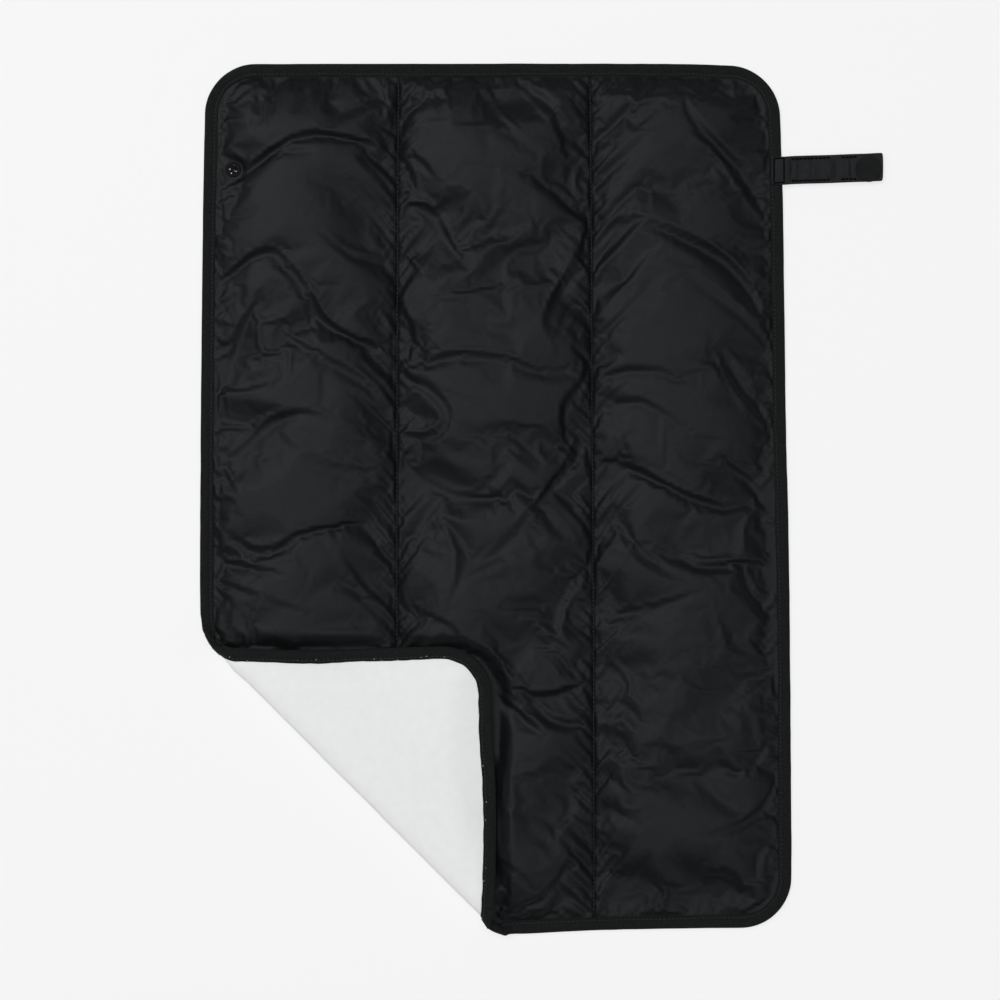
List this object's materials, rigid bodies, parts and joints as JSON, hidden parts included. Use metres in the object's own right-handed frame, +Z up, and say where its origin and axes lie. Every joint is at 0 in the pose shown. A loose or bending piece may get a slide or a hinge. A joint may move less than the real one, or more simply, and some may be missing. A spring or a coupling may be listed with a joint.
{
  "type": "folding changing mat",
  "caption": "Padded quilted folding mat with bound edge, wipe-clean white lining, one turned-over corner, and a snap strap closure.",
  "frame": {"origin": "centre of the open mat, on the plane its lining rests on", "axes": "+Y along the mat towards the end nearest the strap, +X across it towards the edge with the strap, +Z up out of the quilted outer side"},
  "size_m": [0.5243, 0.67, 0.0196],
  "materials": {
    "outer_shell_nylon": "black coated nylon, fine plain weave, soft sheen",
    "wadding_foam": "white polyester wadding",
    "lining_wipe_clean": "white wipe-clean coated fabric, smooth and matte",
    "binding_tape": "black ribbed tape, matte",
    "binding_thread": "black polyester thread",
    "quilt_thread": "black polyester thread",
    "strap_webbing": "black nylon strap, folded and edge stitched",
    "strap_thread": "black polyester thread",
    "reinforcing_patch": "stiff woven patch",
    "snap_gunmetal": "black nickel, polished",
    "snap_cap_matte": "matte black cap",
    "spring_steel": "bright spring wire"
  },
  "bodies": {
    "left_half": {"shell_left": "outer_shell_nylon", "wadding_left": "wadding_foam", "lining_left": "lining_wipe_clean", "binding_left": "binding_tape", "binding_stitch_left": "binding_thread", "quilt_thread_left": "quilt_thread", "snap_stud": "snap_gunmetal", "snap_post": "snap_gunmetal", "snap_patch": "reinforcing_patch"},
    "right_half": {"shell_right": "outer_shell_nylon", "wadding_right": "wadding_foam", "lining_right": "lining_wipe_clean", "binding_right": "binding_tape", "binding_stitch_right": "binding_thread", "quilt_thread_right": "quilt_thread", "strap_anchor_tape": "strap_webbing", "strap_anchor_face": "strap_webbing", "strap_bar_tack": "strap_thread"},
    "corner_flap": {"shell_corner": "outer_shell_nylon", "wadding_corner": "wadding_foam", "lining_corner": "lining_wipe_clean", "binding_corner": "binding_tape", "binding_stitch_corner": "binding_thread", "quilt_thread_corner": "quilt_thread"},
    "strap_link": {"strap_link_tape": "strap_webbing", "strap_link_face": "strap_webbing", "strap_link_stitch": "strap_thread"},
    "strap_tip": {"strap_tip_tape": "strap_webbing", "strap_tip_face": "strap_webbing", "strap_tip_stitch": "strap_thread", "snap_cap": "snap_cap_matte", "snap_socket": "snap_gunmetal", "snap_spring": "spring_steel"}
  },
  "joints": [
    {"name": "half_fold", "type": "hinge", "parent": "left_half", "child": "right_half", "pos_m": [0.0002, 0, -0.0005], "axis": [0, 1, 0], "range_deg": [0, 180]},
    {"name": "corner_turn", "type": "hinge", "parent": "left_half", "child": "corner_flap", "pos_m": [-0.16971, -0.16971, 0.0098], "axis": [0.7071, -0.7071, 0], "range_deg": [0, 180]},
    {"name": "strap_root", "type": "hinge", "parent": "right_half", "child": "strap_link", "pos_m": [0.2262, 0.253, 0.0043], "axis": [0, 1, 0], "range_deg": [-90, 90]},
    {"name": "strap_bend", "type": "hinge", "parent": "strap_link", "child": "strap_tip", "pos_m": [0.2635, 0.253, 0.0043], "axis": [0, 1, 0], "range_deg": [-90, 90]}
  ]
}
